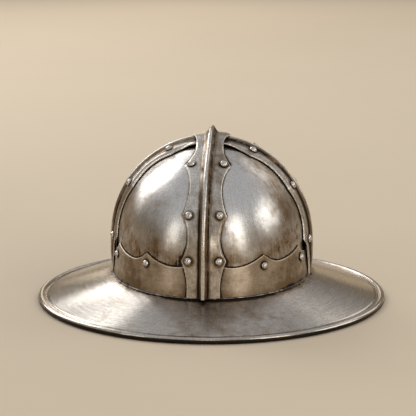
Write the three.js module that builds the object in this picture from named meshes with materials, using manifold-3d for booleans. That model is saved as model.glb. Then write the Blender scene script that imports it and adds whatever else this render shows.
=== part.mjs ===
// Kettle hat: a riveted spangenhelm skull of four plates under a crest band and two side
// bands, a scalloped brow band, and a wide conical brim with a rolled edge.
// Millimetres, +Z up. The hat rests on its rim: the origin is the centre of the rim on the
// surface that it rests on, and the front of the hat faces -Y.
import * as THREE from 'three';
import { mergeVertices } from 'three/addons/utils/BufferGeometryUtils.js';
import Module from 'manifold-3d';

const wasm = await Module();
wasm.setup();

// Skull, measured over the outer faces of the four plates
const skullWidth = 200;
const skullLength = 238;
const wallHeight = 36.6;
const wallFlare = 3.8;
const domeRise = 103;

// Sheet thickness of each piece, and the gaps between pieces that touch
const plateWall = 1.5;
const bandWall = 1.5;
const browWall = 1.5;
const brimWall = 1.5;
const clearance = 0.3;
const collarClearance = 0.5;
const plateSeam = 8;

// Brim, measured over its rolled edge; its rise runs up to the foot of the skull
const brimWidth = 374.6;
const brimLength = 380;
const brimRise = 31;
const rollRadius = 3.6;
const collarHeight = 33.3;

// Bands with their hollow keel
const crestKeelHeight = 7;
const sideKeelHeight = 4.2;
const keelBase = 11;
const keelTop = 4;
const cuspWidth = 46.8;
const waistWidth = 34.4;
const sideBandEnd = 9;
const sideBandLift = 1.3;

// The crest rises over the side bands at the crown and comes down again within these lengths
const crestFlangeRamp = 24;
const crestKeelRamp = 28;

// Rivets. Those of the bands sit this far in from the tips of the cusps.
const crestRivetSetIn = 7.7;
const sideRivetSetIn = 9.4;
const bandRivetHead = 8.6;
const browRivetHead = 7.4;
const rivetHeadHeight = 3.9;
const shankDiameter = 4;
const shankTail = 1;

// Edge of the crest band from its foot to the crown. Each row is a cusp: its angle above the
// top of the skull wall, its width as a share of cuspWidth, and whether rivets sit at it. The
// waist lies below the cusp, at a share of the way up from the cusp below it.
const crestCusps = [
  { angle: 1, width: 1, rivets: true, waistAt: 0.25, waist: 1, steps: 3 },
  { angle: 26.7, width: 1, rivets: true, waistAt: 0.5, waist: 1, steps: 4 },
  { angle: 60.5, width: 1.04, rivets: true, waistAt: 0.5, waist: 0.98, steps: 4 },
  { angle: 90, width: 0.88, rivets: false, waistAt: 0.62, waist: 0.84, steps: 6 },
];
const crestFootWidth = 0.745;

// Edge of each side band, in the same columns. The last row is the hidden end under the crest.
const sideCusps = [
  { angle: 1.2, width: 0.86, rivets: true, waistAt: 0.25, waist: 0.9, steps: 3 },
  { angle: 34, width: 0.86, rivets: true, waistAt: 0.5, waist: 0.9, steps: 4 },
  { angle: 64.7, width: 0.86, rivets: true, waistAt: 0.5, waist: 0.9, steps: 4 },
  { angle: 90, width: 0.72, rivets: false, waistAt: 0.6, waist: 0.9, steps: 3 },
];
const sideFootWidth = 0.67;

// Top edge of the brow band over a quarter turn from the front. The cusps' heights, and those
// of the lows between them, are shares of the wall height above the brim.
const browCusps = [
  { turn: 37, height: 1.12, lowAt: 0.49, low: 0.84 },
  { turn: 69.5, height: 1.04, lowAt: 0.38, low: 0.85 },
  { turn: 90, height: 1.06, lowAt: 0.55, low: 0.78 },
];
const browFrontCusp = 1.12;
const browRivets = [
  { turn: 36.8, height: 0.81 },
  { turn: 71, height: 0.69 },
];

// Facets
const roundSteps = 56;
const quarterColumns = 10;
const domeRows = 7;
const rollSides = 8;
const rivetSides = 8;
const holeSides = 6;

const skullTop = brimRise + wallHeight;
const halfWidth = skullWidth / 2;
const halfLength = skullLength / 2;
const radians = THREE.MathUtils.degToRad;

// Heights above the plates' outer face at which each layer of sheet lies
const browInner = clearance;
const browOuter = browInner + browWall;
const bandInner = browOuter + clearance;
const bandOuter = bandInner + bandWall;
const collarOuter = -plateWall - collarClearance;
const collarInner = collarOuter - brimWall;

const metals = {
  plate: { color: 0xaaa59d, roughness: 0.34, metalness: 1 },
  crest: { color: 0xa39a8c, roughness: 0.38, metalness: 1 },
  side: { color: 0x9c9386, roughness: 0.38, metalness: 1 },
  brow: { color: 0x968a79, roughness: 0.42, metalness: 1 },
  brim: { color: 0x9c9893, roughness: 0.36, metalness: 1 },
  rivet: { color: 0xc4bfb6, roughness: 0.28, metalness: 1 },
};

const lerp = THREE.MathUtils.lerp;

// How far the skull wall has spread at a drop below its top: the wall is a straight cone
function flare(drop) {
  return wallFlare * drop / wallHeight;
}

// A point h outside the plates: turn runs from the front towards the wearer's left (+X),
// angle is 0 on the wall and rises to 90 degrees at the apex, drop is measured down the wall
function skullPoint(turn, angle, drop, h) {
  const out = Math.cos(angle);
  const x = (halfWidth + h + flare(drop)) * out * Math.sin(turn);
  const y = -(halfLength + h + flare(drop)) * out * Math.cos(turn);
  const z = skullTop - drop + (domeRise + h) * Math.sin(angle);
  return new THREE.Vector3(x, y, z);
}

// A point on a band whose centre line climbs the skull towards `facing`, a unit vector in the
// ground plane. Across is measured square to the centre line.
function bandPoint(facing, angle, drop, across, h) {
  const reachX = halfWidth + h + flare(drop);
  const reachY = halfLength + h + flare(drop);
  const reach = Math.abs(facing.x) * reachX + Math.abs(facing.y) * reachY;
  const breadth = Math.abs(facing.y) * reachX + Math.abs(facing.x) * reachY;
  const shrink = Math.sqrt(1 - (across / breadth) ** 2);
  const out = reach * shrink * Math.cos(angle);
  const z = skullTop - drop + (domeRise + h) * shrink * Math.sin(angle);
  return new THREE.Vector3(facing.x * out - facing.y * across, facing.y * out + facing.x * across, z);
}

// The outward direction of the skull at a point
function skullNormal(point) {
  const normal = new THREE.Vector3(point.x / halfWidth ** 2, point.y / halfLength ** 2, 0);
  const rise = point.z - skullTop;
  normal.z = rise > 0 ? rise / domeRise ** 2 : normal.length() * wallFlare / wallHeight;
  return normal.normalize();
}

function addQuad(corners, a, b, c, d) {
  corners.push(a, b, c, a, c, d);
}

// Merges the corners of loose triangles and drops the triangles that have closed to a line
function weld(corners) {
  const loose = new THREE.BufferGeometry().setFromPoints(corners);
  const welded = mergeVertices(loose, 1e-4);
  const index = welded.getIndex().array;
  const kept = [];
  for (let i = 0; i < index.length; i += 3) {
    const [a, b, c] = [index[i], index[i + 1], index[i + 2]];
    if (a !== b && b !== c && c !== a) {
      kept.push(a, b, c);
    }
  }
  welded.setIndex(kept);
  return welded;
}

// A sheet of metal from two grids of points, its outer and its inner face, with its edges
// closed. Rows run along the sheet and columns across it; a round sheet's rows meet.
function sheetBody(outer, inner, round = false) {
  const corners = [];
  const rows = outer.length;
  const last = outer[0].length - 1;
  const strips = round ? rows : rows - 1;
  for (let i = 0; i < strips; i++) {
    const next = (i + 1) % rows;
    for (let j = 0; j < last; j++) {
      addQuad(corners, outer[i][j], outer[i][j + 1], outer[next][j + 1], outer[next][j]);
      addQuad(corners, inner[i][j], inner[next][j], inner[next][j + 1], inner[i][j + 1]);
    }
    addQuad(corners, inner[i][0], outer[i][0], outer[next][0], inner[next][0]);
    addQuad(corners, outer[i][last], inner[i][last], inner[next][last], outer[next][last]);
  }
  if (!round) {
    const end = rows - 1;
    for (let j = 0; j < last; j++) {
      addQuad(corners, inner[0][j], inner[0][j + 1], outer[0][j + 1], outer[0][j]);
      addQuad(corners, outer[end][j], outer[end][j + 1], inner[end][j + 1], inner[end][j]);
    }
  }
  return weld(corners);
}

function toSolid(geometry) {
  const plain = new THREE.BufferGeometry();
  plain.setAttribute('position', geometry.getAttribute('position'));
  plain.setIndex(geometry.getIndex());
  const merged = mergeVertices(plain, 1e-4);
  const vertProperties = new Float32Array(merged.getAttribute('position').array);
  const triVerts = new Uint32Array(merged.getIndex().array);
  return new wasm.Manifold(new wasm.Mesh({ numProp: 3, vertProperties, triVerts }));
}

function toGeometry(solid) {
  const mesh = solid.getMesh();
  const geometry = new THREE.BufferGeometry();
  geometry.setAttribute('position', new THREE.BufferAttribute(new Float32Array(mesh.vertProperties), 3));
  geometry.setIndex(new THREE.BufferAttribute(new Uint32Array(mesh.triVerts), 1));
  return geometry;
}

// Half the width of a band at a share of the way up the span below a cusp
function bandHalfWidth(below, cusp, share) {
  const narrowing = share < cusp.waistAt;
  const waist = cusp.waist * waistWidth / 2;
  const edge = (narrowing ? below : cusp.width) * cuspWidth / 2;
  const away = (share - cusp.waistAt) / (narrowing ? cusp.waistAt : 1 - cusp.waistAt);
  return lerp(waist, Math.max(edge, waist), away ** 2);
}

// Stations up a band from its foot: angle, drop and half width at each
function bandStations(cusps, footWidth) {
  const footDrop = wallHeight - clearance;
  const stations = [{ angle: 0, drop: footDrop, half: bandHalfWidth(footWidth, cusps[0], 0) }];
  let below = { angle: 0, drop: footDrop, width: footWidth };
  for (const cusp of cusps) {
    for (let i = 1; i <= cusp.steps; i++) {
      const share = i / cusp.steps;
      stations.push({
        angle: radians(lerp(below.angle, cusp.angle, share)),
        drop: lerp(below.drop, 0, share),
        half: bandHalfWidth(below.width, cusp, share),
      });
    }
    below = { angle: cusp.angle, drop: 0, width: cusp.width };
  }
  return stations;
}

// Points across a band: flanges on both sides of a hollow keel
function bandSection(half, keelHeight) {
  const base = keelBase / 2;
  const top = keelTop / 2;
  const middle = (half + base) / 2;
  const side = [
    { outer: half, inner: half, outerRise: 0, innerRise: 0 },
    { outer: middle, inner: middle, outerRise: 0, innerRise: 0 },
    { outer: base, inner: base - bandWall / 2, outerRise: 0, innerRise: 0 },
    { outer: top, inner: top - bandWall / 2, outerRise: keelHeight, innerRise: keelHeight },
  ];
  const mirrored = side.map((p) => ({ ...p, outer: -p.outer, inner: -p.inner })).reverse();
  return [...side, ...mirrored].reverse();
}

function bandBody(facing, stations, keel, lift) {
  const outer = [];
  const inner = [];
  for (const { angle, drop, half } of stations) {
    const up = lift(angle, drop);
    const section = bandSection(half, keel(drop));
    outer.push(section.map((p) => bandPoint(facing, angle, drop, p.outer, bandOuter + up + p.outerRise)));
    inner.push(section.map((p) => bandPoint(facing, angle, drop, p.inner, bandInner + up + p.innerRise)));
  }
  return sheetBody(outer, inner);
}

// How far the crest band lifts at an angle, to pass over the flanges and keels of the side bands
function crestLift(angle) {
  const away = Math.abs(Math.cos(angle)) * halfLength;
  const flangeHalf = waistWidth / 2 + clearance;
  const keelHalf = keelBase / 2 + clearance;
  const overFlange = 1 - THREE.MathUtils.smoothstep(away, flangeHalf, flangeHalf + crestFlangeRamp);
  const overKeel = 1 - THREE.MathUtils.smoothstep(away, keelHalf, keelHalf + crestKeelRamp);
  return (bandWall + clearance + sideBandLift) * overFlange + sideKeelHeight * overKeel;
}

const front = { x: 0, y: -1 };
const rear = { x: 0, y: 1 };
const left = { x: 1, y: 0 };
const right = { x: -1, y: 0 };

// Crest band: one strip from the front foot over the crown to the rear foot
function crestBand() {
  const climb = bandStations(crestCusps, crestFootWidth);
  const descent = climb.slice(0, -1).reverse().map((s) => ({ ...s, angle: Math.PI - s.angle }));
  return bandBody(front, [...climb, ...descent], () => crestKeelHeight, crestLift);
}

// Side band: from its foot, where its keel and its lift off the plates die away, to its end,
// hidden under the crest band
function sideBand(facing) {
  const end = THREE.MathUtils.radToDeg(Math.acos(sideBandEnd / (halfWidth + bandOuter)));
  const cusps = sideCusps.map((cusp) => ({ ...cusp, angle: Math.min(cusp.angle, end) }));
  const fade = (drop) => 1 - (drop / wallHeight) ** 2;
  const keel = (drop) => sideKeelHeight * fade(drop);
  const lift = (angle, drop) => sideBandLift * fade(drop);
  return bandBody(facing, bandStations(cusps, sideFootWidth), keel, lift);
}

// Bowl plate: a quarter of the skull, its edges parallel to the bands that cover them
function bowlPlate(signX, signY) {
  const seam = plateSeam / 2;
  const topAngle = Math.acos(seam * Math.hypot(1 / halfWidth, 1 / halfLength));
  const levels = [{ angle: 0, drop: wallHeight - clearance }];
  for (let i = 0; i <= domeRows; i++) {
    levels.push({ angle: topAngle * i / domeRows, drop: 0 });
  }
  const faces = [0, -plateWall].map((h) => levels.map(({ angle, drop }) => {
    const start = Math.asin(seam / (halfWidth * Math.cos(angle)));
    const end = Math.acos(Math.min(1, seam / (halfLength * Math.cos(angle))));
    const row = [];
    for (let j = 0; j <= quarterColumns; j++) {
      const turn = angle === topAngle ? start : lerp(start, end, j / quarterColumns);
      const point = skullPoint(turn, angle, drop, h);
      row.push(new THREE.Vector3(point.x * signX, point.y * -signY, point.z));
    }
    return signX * signY < 0 ? row : row.reverse();
  }));
  return sheetBody(faces[0], faces[1]);
}

// Height of the brow band's top edge above the brim, as a share of the wall height
function browEdge(turn) {
  const quarter = Math.abs(Math.asin(Math.sin(turn)));
  const degrees = THREE.MathUtils.radToDeg(quarter);
  let below = { turn: 0, height: browFrontCusp };
  for (const cusp of browCusps) {
    if (degrees <= cusp.turn + 1e-6) {
      const share = (degrees - below.turn) / (cusp.turn - below.turn);
      const falling = share < cusp.lowAt;
      const away = (share - cusp.lowAt) / (falling ? cusp.lowAt : 1 - cusp.lowAt);
      return lerp(cusp.low, falling ? below.height : cusp.height, away ** 2);
    }
    below = cusp;
  }
  return below.height;
}

// Turns round a quarter of the brow band that fall on every cusp
function browTurns() {
  const turns = [];
  let below = 0;
  for (const cusp of browCusps) {
    const steps = Math.round((cusp.turn - below) / 90 * roundSteps / 4);
    for (let i = 0; i < steps; i++) {
      turns.push(lerp(below, cusp.turn, i / steps));
    }
    below = cusp.turn;
  }
  const half = [...turns, 90, ...turns.slice(1).reverse().map((turn) => 180 - turn)];
  return [...half, ...half.map((turn) => turn + 180)].map(radians);
}

// A level on the skull at a height above the brim
function levelAt(height) {
  const drop = Math.max(0, wallHeight - height);
  const angle = Math.asin(Math.max(0, height - wallHeight) / domeRise);
  return { angle, drop };
}

function browBand() {
  const faces = [browOuter, browInner].map((h) => browTurns().map((turn) => {
    const edge = browEdge(turn) * wallHeight;
    const heights = [edge, clearance + (wallHeight - clearance) / 2, clearance];
    return heights.map((height) => {
      const { angle, drop } = levelAt(height);
      return skullPoint(turn, angle, drop, h);
    });
  }));
  return sheetBody(faces[0], faces[1], true);
}

// Brim: collar, cone and rolled edge in one section, carried round the skull. Points of the
// collar lie h outside the plates, those of the rim h outside the centre of the roll.
function brimBody() {
  const collar = { x: halfWidth, y: halfLength, flares: true };
  const rim = { x: brimWidth / 2 - rollRadius, y: brimLength / 2 - rollRadius, flares: false };
  const corner = rollRadius / Math.cos(Math.PI / rollSides);
  const roll = [];
  for (let i = 0; i < rollSides; i++) {
    const at = Math.PI - Math.PI / rollSides - 2 * Math.PI * i / rollSides;
    roll.push({ on: rim, h: corner * Math.cos(at), z: rollRadius + corner * Math.sin(at) });
  }
  const reach = (rim.x - collar.x + rim.y - collar.y) / 2 - wallFlare + roll[0].h - collarOuter;
  const slope = (brimRise - roll[0].z) / reach;
  const collarTop = brimRise + collarHeight;
  const under = brimWall * Math.hypot(1, slope);
  const section = [
    { on: collar, h: collarOuter, z: collarTop },
    { on: collar, h: collarOuter, z: brimRise },
    ...roll,
    { on: rim, h: roll[0].h - rollRadius, z: roll[0].z + slope * rollRadius - under },
    { on: collar, h: collarInner, z: brimRise + slope * brimWall - under },
    { on: collar, h: collarInner, z: collarTop },
  ];
  const rings = [];
  for (let i = 0; i < roundSteps; i++) {
    const turn = 2 * Math.PI * i / roundSteps;
    rings.push(section.map(({ on, h, z }) => {
      const drop = THREE.MathUtils.clamp(skullTop - z, 0, wallHeight);
      const out = on.flares ? h + flare(drop) : h;
      return new THREE.Vector3((on.x + out) * Math.sin(turn), -(on.y + out) * Math.cos(turn), z);
    }));
  }
  const corners = [];
  for (let i = 0; i < roundSteps; i++) {
    const next = (i + 1) % roundSteps;
    for (let j = 0; j < section.length; j++) {
      const k = (j + 1) % section.length;
      addQuad(corners, rings[i][j], rings[i][k], rings[next][k], rings[next][j]);
    }
  }
  return weld(corners);
}

// Every rivet: its name, the point under its head, the skull's direction there and its sizes
function rivetList() {
  const rivets = [];
  const bandTail = bandOuter + plateWall + clearance + shankTail;
  const browTail = browOuter - collarInner + clearance + shankTail;
  const rows = [
    ['front', front, crestCusps, crestRivetSetIn, 0],
    ['rear', rear, crestCusps, crestRivetSetIn, 0],
    ['left', left, sideCusps, sideRivetSetIn, sideBandLift],
    ['right', right, sideCusps, sideRivetSetIn, sideBandLift],
  ];
  for (const [name, facing, cusps, setIn, lift] of rows) {
    const rivetCusps = cusps.filter((cusp) => cusp.rivets);
    rivetCusps.forEach((cusp, row) => {
      const away = cusp.width * cuspWidth / 2 - setIn;
      for (const [hand, side] of [['a', -1], ['b', 1]]) {
        const seat = bandPoint(facing, radians(cusp.angle), 0, side * away, bandOuter + lift);
        const length = bandTail + lift;
        rivets.push({ name: `${name}_rivet_${row + 1}${hand}`, seat, head: bandRivetHead, length });
      }
    });
  }
  for (const [row, place] of browRivets.entries()) {
    for (const [name, signX, signY] of quarters) {
      const { angle, drop } = levelAt(place.height * wallHeight);
      const seat = skullPoint(radians(place.turn), angle, drop, browOuter);
      seat.set(seat.x * signX, seat.y * -signY, seat.z);
      rivets.push({ name: `brow_rivet_${name}_${row + 1}`, seat, head: browRivetHead, length: browTail });
    }
  }
  return rivets;
}

// Rivet: a domed head with a plain shank, along +Y with the underside of the head at 0
function rivetBody(headDiameter, length) {
  const head = headDiameter / 2;
  const profile = [
    new THREE.Vector2(0, -length),
    new THREE.Vector2(shankDiameter / 2, -length),
    new THREE.Vector2(shankDiameter / 2, 0),
    new THREE.Vector2(head, 0),
    new THREE.Vector2(head * 0.78, rivetHeadHeight * 0.62),
    new THREE.Vector2(0, rivetHeadHeight),
  ];
  return new THREE.LatheGeometry(profile, rivetSides);
}

const quarters = [
  ['front_left', 1, -1],
  ['front_right', -1, -1],
  ['rear_left', 1, 1],
  ['rear_right', -1, 1],
];

const up = new THREE.Vector3(0, 1, 0);
const rivets = rivetList().map((rivet) => ({ ...rivet, normal: skullNormal(rivet.seat) }));

// Holes for every rivet shank, as one cutting solid
function rivetHoles() {
  const radius = (shankDiameter / 2 + clearance) / Math.cos(Math.PI / holeSides);
  let holes = null;
  for (const { seat, normal, length } of rivets) {
    const drill = new THREE.CylinderGeometry(radius, radius, 2 * length, holeSides);
    drill.applyQuaternion(new THREE.Quaternion().setFromUnitVectors(up, normal));
    drill.translate(seat.x, seat.y, seat.z);
    const hole = toSolid(drill);
    holes = holes ? holes.add(hole) : hole;
  }
  return holes;
}

const holes = rivetHoles();
const hat = new THREE.Group();

function addPiece(name, geometry, metal) {
  const mesh = new THREE.Mesh(geometry, new THREE.MeshStandardMaterial(metals[metal]));
  mesh.name = name;
  hat.add(mesh);
  return mesh;
}

function addDrilled(name, geometry, metal) {
  return addPiece(name, toGeometry(toSolid(geometry).subtract(holes)), metal);
}

for (const [name, signX, signY] of quarters) {
  addDrilled(`plate_${name}`, bowlPlate(signX, signY), 'plate');
}
addDrilled('crest_band', crestBand(), 'crest');
addDrilled('side_band_left', sideBand(left), 'side');
addDrilled('side_band_right', sideBand(right), 'side');
addDrilled('brow_band', browBand(), 'brow');
addDrilled('brim', brimBody(), 'brim');

for (const { name, seat, normal, head, length } of rivets) {
  const mesh = addPiece(name, rivetBody(head, length), 'rivet');
  mesh.quaternion.setFromUnitVectors(up, normal);
  mesh.position.copy(seat).addScaledVector(normal, clearance);
}

export default hat;
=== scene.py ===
# Kettle hat in brushed, browned steel: four bowl plates under a crest band and two side bands,
# a scalloped brow band, and a wide brim with a rolled edge. Every plate, band and rivet is a
# fine smooth mesh that replaces its plain solid.
# Sizes are in millimetres and scaled to metres where the meshes are made. The hat rests on
# its rim with its front towards -Y. Each mesh carries a value of dirt and painted light: 0 on
# clean steel, below 0 on edges rubbed bright and where highlights are painted on, and 1 or more
# where painted shadow and shade turn it black, with some real dirt and patina mixed in.
import math

import bpy
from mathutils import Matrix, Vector, noise


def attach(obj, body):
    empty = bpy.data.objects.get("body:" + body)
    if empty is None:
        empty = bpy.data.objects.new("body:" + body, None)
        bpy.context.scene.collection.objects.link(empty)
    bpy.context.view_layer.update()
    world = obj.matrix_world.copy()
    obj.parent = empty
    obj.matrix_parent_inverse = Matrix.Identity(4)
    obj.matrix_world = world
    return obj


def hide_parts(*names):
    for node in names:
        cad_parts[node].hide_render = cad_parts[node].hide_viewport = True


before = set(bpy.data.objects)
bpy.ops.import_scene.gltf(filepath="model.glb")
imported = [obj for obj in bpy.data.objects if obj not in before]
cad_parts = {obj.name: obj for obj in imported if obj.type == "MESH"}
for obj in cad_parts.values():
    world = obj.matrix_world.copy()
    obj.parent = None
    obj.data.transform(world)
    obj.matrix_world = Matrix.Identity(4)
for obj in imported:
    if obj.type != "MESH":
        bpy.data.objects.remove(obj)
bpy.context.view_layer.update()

METRES = 0.001

# Skull, measured over the outer faces of the plates
SKULL_WIDTH = 200.0
SKULL_LENGTH = 238.0
WALL_HEIGHT = 36.6
WALL_FLARE = 3.8
FLARE_START = 5.0
DOME_RISE = 103.0
PLATE_SEAM = 8.0

# Sheet and the gaps between sheets
SHEET = 1.5
CLEARANCE = 0.3
COLLAR_CLEARANCE = 0.5

# Brim, measured over its rolled edge
BRIM_WIDTH = 374.6
BRIM_LENGTH = 380.0
BRIM_RISE = 31.0
ROLL_RADIUS = 3.6
COLLAR_HEIGHT = 33.3
HEM_LINE = 3.4
HEM_LIP = 0.5
HEM_STEP = 0.35
HEM_SWELL = 0.12
CREASE_HEIGHT = 0.45
CREASE_HALF = 2.2

# Where the roll starts, in half turns from outwards, and how far round it goes, in turns
ROLL_START = 0.86
ROLL_TURNS = 0.93

# Bands with their hollow keels
CREST_KEEL = 7.0
SIDE_KEEL = 4.2
KEEL_BASE = 11.0
KEEL_TOP = 4.0
KEEL_FILLET = 0.9
KEEL_SHOULDER = 0.84
KEEL_CROWN = 1.2
KEEL_NARROWING = 1.0
CUSP_WIDTH = 46.8
WAIST_WIDTH = 34.4
SIDE_BAND_END = 9.0
SIDE_BAND_LIFT = 1.3
CREST_FLANGE_RAMP = 24.0
CREST_KEEL_RAMP = 28.0

# Edges of the bands, hammered down: the width that bends and the gap left under it
CREST_EDGE_BEND = 1.6
CREST_EDGE_SEAT = 1.2
SIDE_EDGE_BEND = 4.2
SIDE_EDGE_SEAT = 0.7
PRESS_START = -3.0
PRESS_FULL = 4.0

# Rivets
CREST_RIVET_SET_IN = 7.7
SIDE_RIVET_SET_IN = 9.4
BAND_RIVET_HEAD = 8.6
BROW_RIVET_HEAD = 7.4
RIVET_HEAD_HEIGHT = 3.9
SHANK_DIAMETER = 4.0
SHANK_TAIL = 1.0
RIVET_SEAT_GAP = 0.06
RIVET_RIM = 0.28
RIVET_UNEVEN = 0.16

# Cusps of the bands, from the foot up: angle above the top of the wall, width as a share of
# CUSP_WIDTH, whether rivets sit there, and the waist below the cusp
CREST_CUSPS = [
    {"angle": 1.0, "width": 1.0, "rivets": True, "waist_at": 0.25, "waist": 1.0},
    {"angle": 26.7, "width": 1.0, "rivets": True, "waist_at": 0.5, "waist": 1.0},
    {"angle": 60.5, "width": 1.04, "rivets": True, "waist_at": 0.5, "waist": 0.98},
    {"angle": 90.0, "width": 0.88, "rivets": False, "waist_at": 0.62, "waist": 0.84},
]
CREST_FOOT = 0.745
SIDE_CUSPS = [
    {"angle": 1.2, "width": 0.86, "rivets": True, "waist_at": 0.25, "waist": 0.9},
    {"angle": 34.0, "width": 0.86, "rivets": True, "waist_at": 0.5, "waist": 0.9},
    {"angle": 64.7, "width": 0.86, "rivets": True, "waist_at": 0.5, "waist": 0.9},
    {"angle": 90.0, "width": 0.72, "rivets": False, "waist_at": 0.6, "waist": 0.9},
]
SIDE_FOOT = 0.67

# Top edge of the brow band over a quarter turn, as shares of the wall height
BROW_CUSPS = [
    {"turn": 37.0, "height": 1.12, "low_at": 0.49, "low": 0.84},
    {"turn": 69.5, "height": 1.04, "low_at": 0.38, "low": 0.85},
    {"turn": 90.0, "height": 1.06, "low_at": 0.55, "low": 0.78},
]
BROW_FRONT_CUSP = 1.12
BROW_RIVETS = [{"turn": 36.8, "height": 0.81}, {"turn": 71.0, "height": 0.69}]

# Uneven bead in the corner between the brow band and the brim
SEAM_RADIUS = 0.62
SEAM_UNEVEN = 0.3
SEAM_WAVE = 0.12
SEAM_SINK = 0.25

# How fine the meshes are
GRAIN_STEP = 1.8
PLATE_WALL_ROWS = 28
PLATE_DOME_ROWS = 110
PLATE_COLUMNS = 132
BRIM_STEPS = 288
CONE_STEPS = 40
UNDER_STEPS = 12
COLLAR_STEPS = 8
ROLL_STEPS = 20
RIVET_STEPS = 28
DOME_STEPS = 9
SEAM_STEPS = 560
SEAM_SIDES = 7
CHART_RADIUS = 150.0
EDGE_ROUND = 0.5
BRIM_EDGE_ROUND = 0.3

# Painted shadow, shade and dark reflection on the plates: reaches in millimetres from what they lie
# beside
BESIDE_BAND = (-0.5, 2.6)
LOW_ON_PLATE = (2.0, 40.0)
UNDER_CREST = (0.0, 16.0)
PLATE_PAINTED_SHADE_MOST = 1.2

# The plates on the wearer's right get more painted dark reflection low down, and their flank is
# kept clear of brown further down, where the painted highlight falls
PLATE_FLANK = (0.6, 0.97)
PLATE_SHADING_BY_SIDE = {
    1: {"low": 0.75, "clear_for_highlight": (0.9, 1.5)},
    -1: {"low": 1.0, "clear_for_highlight": (0.35, 0.85)},
}

# Painted light and shade on the bands, with some dirt: distances from the middle, from the edge,
# down from the top of the wall and up from it
KEEL_RIDGE = (1.0, 1.9)
KEEL_FLANK = (1.4, 3.2, 5.4, 8.4)
KEEL_ROOT = (3.4, 4.6, 5.6, 7.2)
BAND_EDGE = (0.4, 1.1)
BAND_FOOT = (12.0, 34.0)
BAND_CROWN = (36.0, 84.0)

# Painted light and shade on the brow band, with dirt round the rivets: up from the brim, down
# from the top edge, from the middle of the crest and from its edge, and round the rivets of all
# bands
BROW_FOOT = (0.0, 13.0)
BROW_EDGE = (0.4, 1.6)
BROW_FLANK = (0.45, 0.85)
BESIDE_CREST = (17.5, 29.5)
CREST_LAP = (0.2, 2.4)
BESIDE_RIVET = (0.0, 3.0)
RIVET_SHADOW_AND_DIRT = 1.2
RIVET_RIM_PAINTED_SHADE = 1.3

# Painted shade on the brim, by stretch of its section: black in the hem groove and under the
# roll, darker on the collar, where the roll starts and under the cone, clear on top of the roll
BRIM_PAINTED_SHADE = {"sheet": 0.5, "lip": 1.2, "hem": 0.25, "roll_start": 0.75, "roll_top": 0.0,
             "roll_under": 1.25, "under": 0.55}
# Where the painted shade at the foot of the cone fades, as shares of the cone
CONE_FOOT = (0.075, 0.175)

# Painted dark reflection of the skull at the front of the brim: how dark it is, its middle and half
# its width
SKULL_REFLECTION_DARKNESS = 0.45
SKULL_REFLECTION_TURN = math.radians(9)
SKULL_REFLECTION_REACH = math.radians(38)

HALF_WIDTH = SKULL_WIDTH / 2
HALF_LENGTH = SKULL_LENGTH / 2
SKULL_TOP = BRIM_RISE + WALL_HEIGHT
BROW_INNER = CLEARANCE
BROW_OUTER = BROW_INNER + SHEET
BAND_INNER = BROW_OUTER + CLEARANCE
BAND_OUTER = BAND_INNER + SHEET
COLLAR_OUTER = -SHEET - COLLAR_CLEARANCE
COLLAR_INNER = COLLAR_OUTER - SHEET

FRONT = (0, -1)
REAR = (0, 1)
LEFT = (1, 0)
RIGHT = (-1, 0)
UP = Vector((0, 0, 1))
QUARTERS = {
    "front_left": (1, -1),
    "front_right": (-1, -1),
    "rear_left": (1, 1),
    "rear_right": (-1, 1),
}


def lerp(a, b, share):
    return a + (b - a) * share


def smoothstep(value, low, high):
    share = min(1.0, max(0.0, (value - low) / (high - low)))
    return share * share * (3 - 2 * share)


def hump(value, start, full, fade, end):
    """1 from full to fade, and 0 outside start and end."""
    return smoothstep(value, start, full) * (1 - smoothstep(value, fade, end))


# Shape of the skull and of what lies on it


def flare(drop):
    """How far the skull wall has spread at a drop below its top: a cone that starts softly."""
    slope = WALL_FLARE / WALL_HEIGHT
    if drop < FLARE_START:
        return slope * drop**2 / (2 * FLARE_START)
    return slope * (drop - FLARE_START / 2)


def skull_point(turn, angle, drop, h):
    """A point h outside the plates: turn from the front, angle above the wall, drop below it."""
    out = math.cos(angle)
    x = (HALF_WIDTH + h + flare(drop)) * out * math.sin(turn)
    y = -(HALF_LENGTH + h + flare(drop)) * out * math.cos(turn)
    return Vector((x, y, SKULL_TOP - drop + (DOME_RISE + h) * math.sin(angle)))


def skull_normal(point):
    normal = Vector((point.x / HALF_WIDTH**2, point.y / HALF_LENGTH**2, 0))
    rise = point.z - SKULL_TOP
    normal.z = rise / DOME_RISE**2 if rise > 0 else normal.length * WALL_FLARE / WALL_HEIGHT
    return normal.normalized()


def band_point(facing, angle, drop, across, h):
    """A point on a band that climbs towards facing; across is square to its centre line."""
    fx, fy = facing
    reach_x = HALF_WIDTH + h + flare(drop)
    reach_y = HALF_LENGTH + h + flare(drop)
    reach = abs(fx) * reach_x + abs(fy) * reach_y
    breadth = abs(fy) * reach_x + abs(fx) * reach_y
    shrink = math.sqrt(1 - (across / breadth) ** 2)
    out = reach * shrink * math.cos(angle)
    z = SKULL_TOP - drop + (DOME_RISE + h) * shrink * math.sin(angle)
    return Vector((fx * out - fy * across, fy * out + fx * across, z))


def scallop(low, low_at, below, above, share):
    """A curve that falls from below to a low and rises to above, with pointed ends."""
    falling = share < low_at
    away = (share - low_at) / (low_at if falling else 1 - low_at)
    return lerp(low, below if falling else above, away**2)


def half_width(below, cusp, share):
    waist = cusp["waist"] * WAIST_WIDTH / 2
    before = max(below * CUSP_WIDTH / 2, waist)
    after = max(cusp["width"] * CUSP_WIDTH / 2, waist)
    return scallop(waist, cusp["waist_at"], before, after, share)


def band_spans(cusps, foot):
    """The stretches between cusps, each from an angle and drop to the next."""
    spans = []
    below = {"angle": 0.0, "drop": WALL_HEIGHT - CLEARANCE, "width": foot}
    for cusp in cusps:
        spans.append((below, cusp))
        below = {"angle": cusp["angle"], "drop": 0.0, "width": cusp["width"]}
    return spans


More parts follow.
